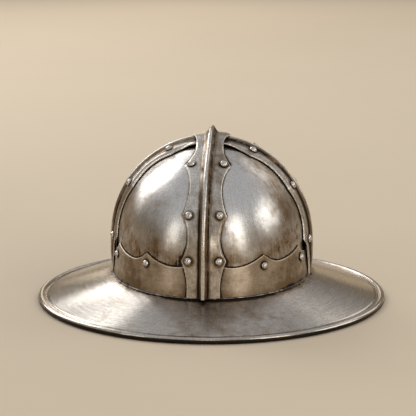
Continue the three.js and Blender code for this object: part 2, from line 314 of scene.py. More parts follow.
def band_stations(cusps, foot, reach, end=90.0):
    stations = []
    for below, cusp in band_spans(cusps, foot):
        top = min(cusp["angle"], end)
        length = math.radians(top - below["angle"]) * reach + below["drop"]
        steps = max(4, round(length / GRAIN_STEP))
        for i in range(0 if not stations else 1, steps + 1):
            share = i / steps
            stations.append({
                "angle": math.radians(lerp(below["angle"], top, share)),
                "drop": lerp(below["drop"], 0.0, share),
                "half": half_width(below["width"], cusp, share),
            })
    return stations


def half_width_at(cusps, foot, angle, drop):
    """Half the width of a band where it passes an angle and drop."""
    degrees = math.degrees(angle)
    for below, cusp in band_spans(cusps, foot):
        if degrees <= cusp["angle"]:
            break
    if below["drop"] > 0:
        share = max(0.0, 1 - drop / below["drop"])
    else:
        share = (degrees - below["angle"]) / (cusp["angle"] - below["angle"])
    return half_width(below["width"], cusp, share)


def crest_lift(angle):
    """How far the crest rises to pass over the side bands."""
    away = abs(math.cos(angle)) * HALF_LENGTH
    flange = WAIST_WIDTH / 2 + CLEARANCE
    keel = KEEL_BASE / 2 + CLEARANCE
    over_flange = 1 - smoothstep(away, flange, flange + CREST_FLANGE_RAMP)
    over_keel = 1 - smoothstep(away, keel, keel + CREST_KEEL_RAMP)
    return (SHEET + CLEARANCE + SIDE_BAND_LIFT) * over_flange + SIDE_KEEL * over_keel


def keel_rise(across, height, spread=0.0):
    """Height of the keel above the band: hollow flanks that meet in a rounded ridge."""
    base = KEEL_BASE / 2 + spread + KEEL_FILLET
    top = KEEL_TOP / 2 + spread
    away = abs(across)
    shoulder = height * KEEL_SHOULDER
    if away >= base:
        return 0.0
    if away <= top:
        return height - (height - shoulder) * (away / top) ** 2.5
    return shoulder * ((base - away) / (base - top)) ** 1.5


def brow_edge(turn):
    """Height of the brow band's top edge above the brim, as a share of the wall height."""
    degrees = math.degrees(abs(math.asin(max(-1.0, min(1.0, math.sin(turn))))))
    starts = [{"turn": 0.0, "height": BROW_FRONT_CUSP}] + BROW_CUSPS
    for below, cusp in zip(starts, BROW_CUSPS):
        if degrees <= cusp["turn"]:
            break
    share = (degrees - below["turn"]) / (cusp["turn"] - below["turn"])
    return scallop(cusp["low"], cusp["low_at"], below["height"], cusp["height"], share)


def level_at(height):
    """Angle and drop on the skull at a height above the brim."""
    drop = max(0.0, WALL_HEIGHT - height)
    return math.asin(max(0.0, height - WALL_HEIGHT) / DOME_RISE), drop


def brow_turns():
    turns = []
    below = 0.0
    for cusp in BROW_CUSPS:
        steps = round(math.radians(cusp["turn"] - below) * HALF_LENGTH / GRAIN_STEP)
        turns += [lerp(below, cusp["turn"], i / steps) for i in range(steps)]
        below = cusp["turn"]
    half = turns + [90.0] + [180 - turn for turn in reversed(turns[1:])]
    return [math.radians(turn) for turn in half + [turn + 180 for turn in half]]


# Rivets: name, point under the head, width of the head, length of the shank


def rivet_list():
    rivets = []
    band_tail = BAND_OUTER + SHEET + SHANK_TAIL
    brow_tail = BROW_OUTER - COLLAR_INNER + SHANK_TAIL
    rows = [
        ("front", FRONT, CREST_CUSPS, CREST_RIVET_SET_IN, 0.0),
        ("rear", REAR, CREST_CUSPS, CREST_RIVET_SET_IN, 0.0),
        ("left", LEFT, SIDE_CUSPS, SIDE_RIVET_SET_IN, SIDE_BAND_LIFT),
        ("right", RIGHT, SIDE_CUSPS, SIDE_RIVET_SET_IN, SIDE_BAND_LIFT),
    ]
    for name, facing, cusps, set_in, lift in rows:
        riveted = [cusp for cusp in cusps if cusp["rivets"]]
        for row, cusp in enumerate(riveted, 1):
            away = cusp["width"] * CUSP_WIDTH / 2 - set_in
            for hand, side in (("a", -1), ("b", 1)):
                angle = math.radians(cusp["angle"])
                seat = band_point(facing, angle, 0.0, side * away, BAND_OUTER + lift)
                rivets.append((f"{name}_rivet_{row}{hand}", seat, BAND_RIVET_HEAD, band_tail + lift))
    for row, place in enumerate(BROW_RIVETS, 1):
        for name, (sx, sy) in QUARTERS.items():
            angle, drop = level_at(place["height"] * WALL_HEIGHT)
            seat = skull_point(math.radians(place["turn"]), angle, drop, BROW_OUTER)
            seat = Vector((seat.x * sx, seat.y * -sy, seat.z))
            rivets.append((f"brow_rivet_{name}_{row}", seat, BROW_RIVET_HEAD, brow_tail))
    return rivets


RIVETS = rivet_list()


def rivet_shadow_and_dirt(point):
    """A dark ring round the rivet heads: painted shadow with some dirt."""
    nearest = min((point - seat).length - head / 2 for _, seat, head, _ in RIVETS)
    return RIVET_SHADOW_AND_DIRT * (1 - smoothstep(nearest, *BESIDE_RIVET))


# Meshes


def make_object(name, points, faces, chart, grain, dirt_and_painted_light):
    """A smooth mesh in metres with a chart for its tangents, a grain position and its value of
    dirt and painted light.
    """
    mesh = bpy.data.meshes.new(name)
    mesh.from_pydata([point * METRES for point in points], [], faces)
    for polygon in mesh.polygons:
        polygon.use_smooth = True
    layer = mesh.uv_layers.new(name="chart")
    for loop, place in zip(layer.data, chart):
        loop.uv = (place[0] * METRES, place[1] * METRES)
    grains = mesh.attributes.new("grain", "FLOAT_VECTOR", "POINT")
    grains.data.foreach_set("vector", [number for place in grain for number in place])
    dirt_and_painted_light_layer = mesh.attributes.new("dirt_and_painted_light", "FLOAT", "POINT")
    dirt_and_painted_light_layer.data.foreach_set("value", dirt_and_painted_light)
    piece = bpy.data.objects.new(name, mesh)
    bpy.context.scene.collection.objects.link(piece)
    return piece


def sheet_object(name, rows, closing=None):
    """A sheet with closed edges from rows of corners. Each corner has an outer point, an inner
    point, a place on the chart, a place in the grain and its value of dirt and painted light. For
    a ring, closing is how far round the chart its last row meets the first."""
    count = len(rows)
    cols = len(rows[0])
    chart = [[corner[2] for corner in row] for row in rows]
    if closing is not None:
        chart.append([(place[0], closing) for place in chart[0]])
    faces = []
    places = []

    def add(corners):
        faces.append([side * count * cols + (i % count) * cols + j for side, i, j in corners])
        places.extend(chart[i][j] for _, i, j in corners)

    last = cols - 1
    for i in range(len(chart) - 1):
        for j in range(last):
            add([(0, i, j), (0, i, j + 1), (0, i + 1, j + 1), (0, i + 1, j)])
            add([(1, i, j), (1, i + 1, j), (1, i + 1, j + 1), (1, i, j + 1)])
        add([(1, i, 0), (0, i, 0), (0, i + 1, 0), (1, i + 1, 0)])
        add([(0, i, last), (1, i, last), (1, i + 1, last), (0, i + 1, last)])
    if closing is None:
        end = count - 1
        for j in range(last):
            add([(1, 0, j), (1, 0, j + 1), (0, 0, j + 1), (0, 0, j)])
            add([(0, end, j), (0, end, j + 1), (1, end, j + 1), (1, end, j)])
    corners = [corner for row in rows for corner in row]
    points = [corner[0] for corner in corners] + [corner[1] for corner in corners]
    grain = [corner[3] for corner in corners] * 2
    dirt_and_painted_light = [corner[4] for corner in corners] * 2
    return make_object(name, points, faces, places, grain, dirt_and_painted_light)


def round_edges(piece, width=EDGE_ROUND, angle=50.0):
    bevel = piece.modifiers.new("rounded edges", "BEVEL")
    bevel.width = width * METRES
    bevel.segments = 2
    bevel.limit_method = "ANGLE"
    bevel.angle_limit = math.radians(angle)
    bevel.harden_normals = True
    bevel.use_clamp_overlap = True
    return piece


# Steel

# Brown of the patina, also used for painted shade, and black for painted shadow and the darkest dirt
BROWN = (0.23, 0.155, 0.088)
BLACK_SHADOW_AND_DIRT = (0.035, 0.028, 0.022)


class Graph:
    """Short calls for building a material's nodes."""

    def __init__(self, name):
        self.material = bpy.data.materials.new(name)
        self.material.use_nodes = True
        self.tree = self.material.node_tree
        self.shader = self.tree.nodes["Principled BSDF"]

    def node(self, kind, **settings):
        node = self.tree.nodes.new(kind)
        for key, value in settings.items():
            setattr(node, key, value)
        return node

    def link(self, source, target):
        self.tree.links.new(source, target)

    def math(self, operation, a, b, clamp=False):
        node = self.node("ShaderNodeMath", operation=operation, use_clamp=clamp)
        for socket, value in zip(node.inputs, (a, b)):
            if isinstance(value, (int, float)):
                socket.default_value = value
            else:
                self.link(value, socket)
        return node.outputs[0]

    def attribute(self, name):
        return self.node("ShaderNodeAttribute", attribute_name=name)

    def noise(self, vector, scale, stretch=(1, 1, 1), detail=4.0, rough=0.55, distortion=0.0):
        place = self.node("ShaderNodeMapping")
        place.inputs["Scale"].default_value = stretch
        self.link(vector, place.inputs["Vector"])
        node = self.node("ShaderNodeTexNoise")
        node.inputs["Scale"].default_value = scale
        node.inputs["Detail"].default_value = detail
        node.inputs["Roughness"].default_value = rough
        node.inputs["Distortion"].default_value = distortion
        self.link(place.outputs["Vector"], node.inputs["Vector"])
        return node.outputs[0]

    def ramp(self, value, start, end):
        """Grey between two stops, each a place and a level."""
        node = self.node("ShaderNodeValToRGB")
        for element, (place, level) in zip(node.color_ramp.elements, (start, end)):
            element.position = place
            element.color = (level, level, level, 1)
        self.link(value, node.inputs["Fac"])
        return node.outputs["Color"]

    def mix(self, share, a, b):
        node = self.node("ShaderNodeMix", data_type="RGBA")
        self.link(share, node.inputs["Factor"])
        for socket, value in ((node.inputs[6], a), (node.inputs[7], b)):
            if isinstance(value, tuple):
                socket.default_value = (*value, 1)
            else:
                self.link(value, socket)
        return node.outputs[2]


def steel(name, bright, roughness, grain_pull, patina, dents, brushing=0.86, brown=BROWN):
    """Brushed steel with brown patina. Bright and brown are its colours, grain_pull is how far
    highlights stretch across the brushing, patina is how much of it is browned, dents is the
    depth of the hammer marks and brushing is the shade in the scratches."""
    g = Graph(name)
    grain = g.attribute("grain").outputs["Vector"]
    dirt_and_painted_light = g.attribute("dirt_and_painted_light").outputs["Fac"]
    place = g.node("ShaderNodeTexCoord").outputs["Object"]
    streaks = g.noise(grain, 1.0, stretch=(1.1, 0.035, 0.035), detail=5, rough=0.62)
    hairs = g.noise(grain, 1.0, stretch=(5.5, 0.12, 0.12), detail=3, rough=0.6)
    clouds = g.noise(place, 26.0, detail=6, rough=0.62, distortion=0.4)
    mottle = g.noise(place, 110.0, detail=5, rough=0.6, distortion=0.3)
    hammered = g.noise(place, 34.0, detail=1.5, rough=0.4)
    ripples = g.noise(place, 120.0, stretch=(1, 1, 0.4), detail=2.0, rough=0.5)
    specks = g.noise(place, 520.0, detail=3, rough=0.6)

    # Brown where patina, dirt and painted shade lie and in clouds, broken up by the grain, and black
    # where the painted shadow is deepest
    broken = g.math("ADD", g.math("MULTIPLY", mottle, 0.55), g.math("MULTIPLY", streaks, 0.45))
    lift = g.math("MULTIPLY", g.math("SUBTRACT", broken, 0.5), 2.6)
    cloudy = g.math("MULTIPLY", g.math("SUBTRACT", clouds, 0.5), 2.2)
    amount = g.math("ADD", g.math("ADD", dirt_and_painted_light, patina), g.math("ADD", lift, cloudy))
    browned = g.math("MULTIPLY", amount, 1.0, clamp=True)
    tone = g.mix(browned, bright, brown)
    deep = g.ramp(g.math("ADD", dirt_and_painted_light, g.math("MULTIPLY", lift, 0.35)), (0.95, 0.0), (1.0, 1.0))
    tone = g.mix(deep, tone, BLACK_SHADOW_AND_DIRT)

    # Shade in the scratches
    scratched = g.math("ADD", g.math("MULTIPLY", hairs, 0.4), g.math("MULTIPLY", streaks, 0.35))
    scratched = g.math("ADD", scratched, g.math("MULTIPLY", specks, 0.25))
    shade = g.ramp(scratched, (0.42, brushing), (0.55, 1.0))
    hue = g.node("ShaderNodeMix", data_type="RGBA", blend_type="MULTIPLY")
    hue.inputs["Factor"].default_value = 1.0
    g.link(tone, hue.inputs[6])
    g.link(shade, hue.inputs[7])
    g.link(hue.outputs[2], g.shader.inputs["Base Color"])

    # Rougher where it is browned, streaked, painted black or speckled
    rough = g.math("ADD", g.math("MULTIPLY", browned, 0.13), g.math("MULTIPLY", streaks, 0.12))
    rough = g.math("ADD", rough, g.math("MULTIPLY", deep, 0.2))
    rough = g.math("ADD", rough, g.math("MULTIPLY", specks, 0.06))
    g.link(g.math("ADD", rough, roughness - 0.09), g.shader.inputs["Roughness"])
    g.shader.inputs["Metallic"].default_value = 1.0
    g.shader.inputs["Anisotropic"].default_value = grain_pull

    # Brushing that follows the chart
    tangent = g.node("ShaderNodeTangent", direction_type="UV_MAP", uv_map="chart")
    g.link(tangent.outputs["Tangent"], g.shader.inputs["Tangent"])

    # Hammer marks under fine scratches
    relief = g.node("ShaderNodeBump")
    relief.inputs["Strength"].default_value = 0.5
    relief.inputs["Distance"].default_value = dents * METRES
    g.link(g.math("ADD", hammered, g.math("MULTIPLY", ripples, 0.14)), relief.inputs["Height"])
    fine = g.node("ShaderNodeBump")
    fine.inputs["Strength"].default_value = 0.35
    fine.inputs["Distance"].default_value = 0.05 * METRES
    g.link(g.math("ADD", hairs, g.math("MULTIPLY", specks, 0.6)), fine.inputs["Height"])
    g.link(relief.outputs["Normal"], fine.inputs["Normal"])
    g.link(fine.outputs["Normal"], g.shader.inputs["Normal"])
    return g.material


plate_steel = steel("plate steel", (0.66, 0.64, 0.61), roughness=0.27, grain_pull=0.4,
                    patina=-0.04, dents=1.6, brushing=0.76)
band_steel = steel("band steel", (0.76, 0.71, 0.64), roughness=0.27, grain_pull=0.3,
                   patina=0.36, dents=0.8, brushing=0.5, brown=(0.24, 0.17, 0.105))
brow_steel = steel("brow steel", (0.56, 0.47, 0.375), roughness=0.28, grain_pull=0.7,
                   patina=0.3, dents=0.9, brushing=0.74, brown=(0.22, 0.15, 0.085))
brim_steel = steel("brim steel", (0.57, 0.525, 0.47), roughness=0.2, grain_pull=0.5,
                   patina=-0.1, dents=0.16, brushing=0.66)
rivet_steel = steel("rivet steel", (0.64, 0.61, 0.57), roughness=0.2, grain_pull=0.0,
                    patina=-0.2, dents=0.1)
seam_steel = steel("seam steel", (0.55, 0.53, 0.50), roughness=0.3, grain_pull=0.0,
                   patina=0.25, dents=0.4, brown=(0.1, 0.08, 0.06))


def dress(piece, material, slot, *nodes):
    piece.data.materials.append(material)
    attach(piece, "root")
    if nodes:
        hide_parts(*nodes)


# Bowl plates


def plate_dirt_and_painted_light(spot, turn, angle, drop, sx):
    """Painted shadow beside the bands and above the brow band, painted shade beside the crest, a
    painted dark reflection low on the plate, and patina with a painted dark reflection on its
    flank, kept clear where the painted highlight falls.
    """
    side_shading = PLATE_SHADING_BY_SIDE[sx]
    crest_gap = abs(spot.x) - half_width_at(CREST_CUSPS, CREST_FOOT, angle, drop)
    side_gap = abs(spot.y) - half_width_at(SIDE_CUSPS, SIDE_FOOT, angle, drop)
    gap = min(crest_gap, 1.8 * side_gap)
    above = WALL_HEIGHT * (1 - brow_edge(turn)) - drop + math.sin(angle) * DOME_RISE
    # A thin painted shadow beside the bands and above the brow band
    near = 1 - smoothstep(min(gap, 1.6 * above), *BESIDE_BAND)
    # A painted dark reflection, darker and browner low on the plate
    low = side_shading["low"] * (1 - smoothstep(above, *LOW_ON_PLATE))
    # Patina and a painted dark reflection on the flank, faded where the painted highlight falls
    flank = smoothstep(abs(math.sin(turn)), *PLATE_FLANK) * (1 - smoothstep(angle, *side_shading["clear_for_highlight"]))
    # Painted shade beside the crest
    crest_shade = 1 - smoothstep(gap, *UNDER_CREST)
    return min(PLATE_PAINTED_SHADE_MOST, 1.1 * near + min(0.9, low + 0.85 * flank)) + 0.1 * crest_shade


def bowl_plate(name, sx, sy):
    seam = PLATE_SEAM / 2
    top = 0.997 * math.acos(seam * math.hypot(1 / HALF_WIDTH, 1 / HALF_LENGTH))
    foot = WALL_HEIGHT - CLEARANCE
    levels = [(0.0, foot * (1 - i / PLATE_WALL_ROWS)) for i in range(PLATE_WALL_ROWS)]
    levels += [(top * i / PLATE_DOME_ROWS, 0.0) for i in range(PLATE_DOME_ROWS + 1)]
    rows = []
    climbed = 0.0
    before = levels[0]
    for angle, drop in levels:
        climbed += before[1] - drop + (angle - before[0]) * DOME_RISE
        before = (angle, drop)
        start = math.asin(min(1.0, seam / (HALF_WIDTH * math.cos(angle))))
        end = math.acos(min(1.0, seam / (HALF_LENGTH * math.cos(angle))))
        row = []
        for j in range(PLATE_COLUMNS + 1):
            turn = lerp(start, end, j / PLATE_COLUMNS)
            sides = [skull_point(turn, angle, drop, h) for h in (0.0, -SHEET)]
            outer, inner = [Vector((p.x * sx, p.y * -sy, p.z)) for p in sides]
            around = turn * HALF_WIDTH
            chart = (climbed, around * sx * -sy)
            grain = (around, climbed, 40.0 * sx + 20.0 * sy)
            row.append((outer, inner, chart, grain, plate_dirt_and_painted_light(outer, turn, angle, drop, sx)))
        if sx * sy > 0:
            row.reverse()
        rows.append(row)
    return sheet_object(name, rows)


for quarter, (side_x, side_y) in QUARTERS.items():
    plate = bowl_plate(f"bowl_plate_{quarter}", side_x, side_y)
    dress(plate, plate_steel, "plate_steel", f"plate_{quarter}")

# Bands


def band_places(half):
    """Places across a band in millimetres, closer at its edges and over the keel."""
    keel = KEEL_BASE / 2 + 1.6
    flange = [half - 0.55, half - 1.1] + [lerp(half - 1.8, keel + 0.8, i / 7) for i in range(8)]
    ridge = [keel, keel - 0.9, keel - 1.8, keel - 2.8, 3.3, 2.5, 2.0, 1.4, 0.7]
    side = [half] + flange + ridge
    return [-place for place in side] + [0.0] + side[::-1]


def side_fade(drop):
    """The keel and the lift of a side band die away towards its foot."""
    return 1 - (drop / WALL_HEIGHT) ** 2


def edge_press(angle, drop):
    """How far the edges of a band are hammered down to the plates: not over the brow band, nor
    where the crest passes over the side bands."""
    climb = min(angle, math.pi - angle) * HALF_WIDTH - drop
    away = abs(math.cos(angle)) * HALF_LENGTH
    passing = WAIST_WIDTH / 2 + CLEARANCE
    clear = smoothstep(away, passing, passing + CREST_FLANGE_RAMP)
    return smoothstep(climb, PRESS_START, PRESS_FULL) * clear


def band_dirt_and_painted_light(point, across, half, drop):
    """Painted shade on the flanks and at the root of the keel, and a dark ring of painted shadow and
    dirt round the rivets. Painted highlights on the ridge and on the edges, which are also rubbed
    bright, and the top painted lighter on the wearer's right and darker on the left."""
    away = abs(across)
    high = smoothstep(point.z - SKULL_TOP, *BAND_CROWN)
    # A painted highlight on the ridge of the keel, painted shade on its flanks, and painted shade at
    # its root, deeper on one side
    amount = 0.8 * hump(away, *KEEL_FLANK) - 0.95 * (1 - smoothstep(away, *KEEL_RIDGE))
    amount += (0.45 if across < 0 else 0.25) * hump(away, *KEEL_ROOT) * (1 - high)
    # The top painted lighter on the wearer's right and darker on the left
    amount += (0.2 if point.x > 0 else -0.4) * high
    # A little darker towards the foot, and the edges lighter: rubbed bright, with a painted
    # highlight
    amount += 0.1 * smoothstep(drop, *BAND_FOOT) - 0.5 * (1 - smoothstep(half - away, *BAND_EDGE))
    return amount + rivet_shadow_and_dirt(point)


def band_object(name, facing, stations, keel_at, lift_at, bend, seat_gap):
    rows = []
    along = 0.0
    before = None
    for station in stations:
        angle, drop, half = station["angle"], station["drop"], station["half"]
        up = lift_at(angle, drop)
        keel = keel_at(drop)
        press = edge_press(angle, drop) * (BAND_INNER + up - seat_gap)
        centre = band_point(facing, angle, drop, 0.0, BAND_OUTER)
        along += (centre - before).length if before else 0.0
        before = centre
        row = []
        for across in reversed(band_places(half)):
            rise = keel_rise(across, keel)
            hollow = keel_rise(across, max(keel - KEEL_CROWN, 0.0), -KEEL_NARROWING)
            seat = up - press * smoothstep(abs(across), half - bend, half)
            outer = band_point(facing, angle, drop, across, BAND_OUTER + seat + rise)
            inner = band_point(facing, angle, drop, across, BAND_INNER + seat + hollow)
            dirt_and_painted_light = band_dirt_and_painted_light(outer, across, half, drop)
            row.append((outer, inner, (across, along), (across, along, 0.0), dirt_and_painted_light))
        rows.append(row)
    return round_edges(sheet_object(name, rows))


climb = band_stations(CREST_CUSPS, CREST_FOOT, HALF_LENGTH)
descent = [{**station, "angle": math.pi - station["angle"]} for station in reversed(climb[:-1])]
crest = band_object("crest_strip", FRONT, climb + descent, lambda drop: CREST_KEEL,
                    lambda angle, drop: crest_lift(angle), CREST_EDGE_BEND, CREST_EDGE_SEAT)
dress(crest, band_steel, "band_steel", "crest_band")

side_end = math.degrees(math.acos(SIDE_BAND_END / (HALF_WIDTH + BAND_OUTER)))
side_stations = band_stations(SIDE_CUSPS, SIDE_FOOT, HALF_WIDTH, side_end)
for hand, facing in (("left", LEFT), ("right", RIGHT)):
    strip = band_object(f"side_strip_{hand}", facing, side_stations,
                        lambda drop: SIDE_KEEL * side_fade(drop),
                        lambda angle, drop: SIDE_BAND_LIFT * side_fade(drop),
                        SIDE_EDGE_BEND, SIDE_EDGE_SEAT)
    dress(strip, band_steel, "band_steel", f"side_band_{hand}")

# Brow band


def brow_dirt_and_painted_light(point, turn, height, top):
    """Painted shade at the foot by the brim, darker beside the crest, a painted shadow under the
    crest's edge, darker on the flanks and a dark ring of painted shadow and dirt round the rivets,
    under a top edge rubbed bright with a painted highlight."""
    angle, drop = level_at(height)
    crest_half = half_width_at(CREST_CUSPS, CREST_FOOT, angle, drop)
    # Painted shade in the corner by the brim
    amount = 0.5 * (1 - smoothstep(height, *BROW_FOOT))
    # The top edge lighter: rubbed bright, with a painted highlight
    amount -= 1.1 * (1 - smoothstep(top - height, *BROW_EDGE))
    amount += 0.3 * (1 - smoothstep(abs(point.x), *BESIDE_CREST))
    # A black painted shadow where the crest's edge lies over the brow band
    amount += 1.1 * (1 - smoothstep(abs(point.x) - crest_half, *CREST_LAP))
    amount += 0.5 * smoothstep(abs(math.sin(turn)), *BROW_FLANK)
    return amount + rivet_shadow_and_dirt(point)


def brow_object():
    shares = [0.0, 0.02, 0.05] + [0.05 + 0.9 * i / 20 for i in range(1, 20)] + [0.95, 0.98, 1.0]
    rows = []
    around = 0.0
    before = None
    for turn in brow_turns():
        top = brow_edge(turn) * WALL_HEIGHT
        row = []
        for share in shares:
            height = lerp(top, CLEARANCE, share)
            angle, drop = level_at(height)
            outer, inner = [skull_point(turn, angle, drop, h) for h in (BROW_OUTER, BROW_INNER)]
            grain = (height, outer.x, outer.y)
            row.append((outer, inner, (height, around), grain, brow_dirt_and_painted_light(outer, turn, height, top)))
        foot = row[-1][0]
        around += (foot - before).length if before else 0.0
        before = foot
        rows.append(row)
    closing = around + (rows[0][-1][0] - before).length
    return round_edges(sheet_object("brow_strip", rows, closing))


dress(brow_object(), brow_steel, "brow_steel", "brow_band")

# Brim


def brim_section():
    """The ellipses of the collar and of the rim, the corners of the roll, the slope of the cone
    and how far its underside lies below its top."""
    collar = (HALF_WIDTH, HALF_LENGTH, True)
    rim = (BRIM_WIDTH / 2 - ROLL_RADIUS, BRIM_LENGTH / 2 - ROLL_RADIUS, False)
    roll = []
    for i in range(ROLL_STEPS):
        at = math.pi * (ROLL_START - 2 * ROLL_TURNS * i / (ROLL_STEPS - 1))
        roll.append((rim, ROLL_RADIUS * math.cos(at), ROLL_RADIUS + ROLL_RADIUS * math.sin(at)))
    reach = (rim[0] - collar[0] + rim[1] - collar[1]) / 2 - WALL_FLARE + roll[0][1] - COLLAR_OUTER
    slope = (BRIM_RISE - roll[0][2]) / reach
    under = SHEET * math.hypot(1, slope)
    return collar, rim, roll, slope, under


def brim_spot(place, turn):
    """A point of the section at a turn: the collar follows the flare of the skull."""
    (across, along, flared), h, z = place
    drop = min(max(SKULL_TOP - z, 0.0), WALL_HEIGHT)
    out = h + flare(drop) if flared else h
    return Vector(((across + out) * math.sin(turn), -(along + out) * math.cos(turn), z))


def brim_cone(first, last, turn):
    """Points down the cone, with a slight crease at the front, and their painted shade: dark at the
    foot by the collar, and a painted dark reflection of the skull at the front.
    """
    skull_reflection = SKULL_REFLECTION_DARKNESS * smoothstep(math.cos(turn - SKULL_REFLECTION_TURN), math.cos(SKULL_REFLECTION_REACH), 1.0)
    points, dirt_and_painted_light = [], []
    for k in range(CONE_STEPS + 1):
        share = k / CONE_STEPS
        point = first.lerp(last, share)
        crease = math.exp(-((point.x / CREASE_HALF) ** 2)) if point.y < 0 else 0.0
        point.z += CREASE_HEIGHT * crease * (1 - share * 0.6)
        points.append(point)
        # Painted shade at the foot by the collar, and the painted reflection at the front
        dirt_and_painted_light.append(0.95 - smoothstep(share, *CONE_FOOT) + skull_reflection)
    return points, dirt_and_painted_light


def brim_ring(turn):
    """Points and painted shade round the brim's section: down the outside of the collar, down the
    cone, round the roll, back under the cone and up the inside of the collar."""
    collar, rim, roll, slope, under = brim_section()
    _, roll_out, roll_up = roll[0]
    top = BRIM_RISE + COLLAR_HEIGHT
    cone_start = (collar, COLLAR_OUTER + 0.9, BRIM_RISE)
    hem_start = (rim, roll_out - HEM_LINE, roll_up + slope * HEM_LINE)
    lip_in = HEM_LINE - HEM_LIP
    lip_place = (rim, roll_out - lip_in, roll_up + slope * lip_in - HEM_STEP)
    under_start = (rim, roll_out - ROLL_RADIUS, roll_up + slope * ROLL_RADIUS - under)
    under_end = (collar, COLLAR_INNER, BRIM_RISE + slope * SHEET - under)

    climbs = [k / COLLAR_STEPS for k in range(COLLAR_STEPS + 1)]
    ring = [brim_spot((collar, COLLAR_OUTER, lerp(top, BRIM_RISE + 1.2, k)), turn) for k in climbs]
    ring.append(brim_spot((collar, COLLAR_OUTER + 0.25, BRIM_RISE + 0.35), turn))
    dirt_and_painted_light = [BRIM_PAINTED_SHADE["sheet"]] * len(ring)
    cone, cone_painted_shade = brim_cone(brim_spot(cone_start, turn), brim_spot(hem_start, turn), turn)
    ring += cone
    dirt_and_painted_light += cone_painted_shade
    # A black painted shade line in the hem groove
    lip = brim_spot(lip_place, turn)
    ring.append(lip)
    dirt_and_painted_light.append(BRIM_PAINTED_SHADE["lip"])
    for k, swell in enumerate((HEM_SWELL, HEM_SWELL, 0.0), 1):
        ring.append(lip.lerp(brim_spot(roll[0], turn), k / 4) + Vector((0, 0, swell)))
        dirt_and_painted_light.append(BRIM_PAINTED_SHADE["hem"])
    # Painted shade where the roll starts, clear on its top and a black painted shadow under it
    for k, place in enumerate(roll):
        ring.append(brim_spot(place, turn))
        stretch = "roll_start" if k < 2 else ("roll_top" if k < 8 else "roll_under")
        dirt_and_painted_light.append(BRIM_PAINTED_SHADE[stretch])
    # Painted shade under the cone
    start, end = brim_spot(under_start, turn), brim_spot(under_end, turn)
    ring += [start.lerp(end, k / UNDER_STEPS) for k in range(UNDER_STEPS + 1)]
    dirt_and_painted_light += [BRIM_PAINTED_SHADE["under"]] * (UNDER_STEPS + 1)
    inside = under_end[2] + 0.5
    ring += [brim_spot((collar, COLLAR_INNER, lerp(inside, top, k)), turn) for k in climbs]
    dirt_and_painted_light += [BRIM_PAINTED_SHADE["sheet"]] * len(climbs)
    return ring, dirt_and_painted_light


def brim_object():
    points, chart, grain, dirt_and_painted_light = [], [], [], []
    for i in range(BRIM_STEPS):
        turn = 2 * math.pi * i / BRIM_STEPS
        ring, marks = brim_ring(turn)
        lengths = [0.0]
        for a, b in zip(ring, ring[1:]):
            lengths.append(lengths[-1] + (b - a).length)
        points += ring
        dirt_and_painted_light += marks
        chart.append([(length, turn * CHART_RADIUS) for length in lengths])
        grain += [(length, p.x, p.y) for length, p in zip(lengths, ring)]
    chart.append([(place[0], 2 * math.pi * CHART_RADIUS) for place in chart[0]])

    count = len(chart[0])
    faces = []
    places = []
    for i in range(BRIM_STEPS):
        after = (i + 1) % BRIM_STEPS
        here, there = chart[i][0][1], chart[i + 1][0][1]
        for j in range(count):
            k = (j + 1) % count
            faces.append([i * count + j, i * count + k, after * count + k, after * count + j])
            near = chart[i][j][0]
            far = chart[i][k][0] if k else near + SHEET
            places += [(near, here), (far, here), (far, there), (near, there)]
    return make_object("brim_sheet", points, faces, places, grain, dirt_and_painted_light)


dress(round_edges(brim_object(), BRIM_EDGE_ROUND, 70.0), brim_steel, "brim_steel", "brim")

# Uneven bead at the foot of the brow band


def foot_seam():
    points, faces, places, grain, dirt_and_painted_light = [], [], [], [], []
    for i in range(SEAM_STEPS):
        turn = 2 * math.pi * i / SEAM_STEPS
        centre = skull_point(turn, 0.0, WALL_HEIGHT, BROW_OUTER + SEAM_SINK)
        swell = noise.noise(centre * 0.16) + 0.6 * noise.noise(centre * 0.5)
        radius = SEAM_RADIUS + SEAM_UNEVEN * swell
        centre.z = BRIM_RISE - SEAM_SINK + SEAM_WAVE * swell
        out = Vector((math.sin(turn), -math.cos(turn), 0))
        for k in range(SEAM_SIDES):
            at = 2 * math.pi * k / SEAM_SIDES
            points.append(centre + (out * math.cos(at) + UP * math.sin(at)) * radius)
            grain.append((radius * at, centre.x, centre.y))
            dirt_and_painted_light.append(0.35 + 0.9 * noise.noise(centre * 0.3))
    for i in range(SEAM_STEPS):
        here, after = i * SEAM_SIDES, (i + 1) % SEAM_STEPS * SEAM_SIDES
        for k in range(SEAM_SIDES):
            j = (k + 1) % SEAM_SIDES
            faces.append([here + k, after + k, after + j, here + j])
            places += [(k, i), (k, i + 1), (k + 1, i + 1), (k + 1, i)]
    return make_object("foot_seam", points, faces, places, grain, dirt_and_painted_light)


dress(foot_seam(), seam_steel, "brim_steel")

# Rivets: a domed head, a shank and a hammered inner end, square to the skull


def rivet_profile(head, length):
    """Radius and height up a rivet, from its inner end to the top of its head."""
    radius = head / 2
    shank = SHANK_DIAMETER / 2
    profile = [(0.0, -length), (shank * 0.8, -length + 0.1), (shank * 1.35, -length + 0.5)]
    profile += [(shank * 1.4, -length + 0.85), (shank, -length + 1.0), (shank, 0.0)]
    profile += [(radius - 0.35, 0.0), (radius, RIVET_RIM)]
    for i in range(1, DOME_STEPS + 1):
        at = math.pi / 2 * i / DOME_STEPS
        up = RIVET_RIM + (RIVET_HEAD_HEIGHT - RIVET_RIM) * math.sin(at)
        profile.append((radius * math.cos(at) ** 0.9, up))
    return profile


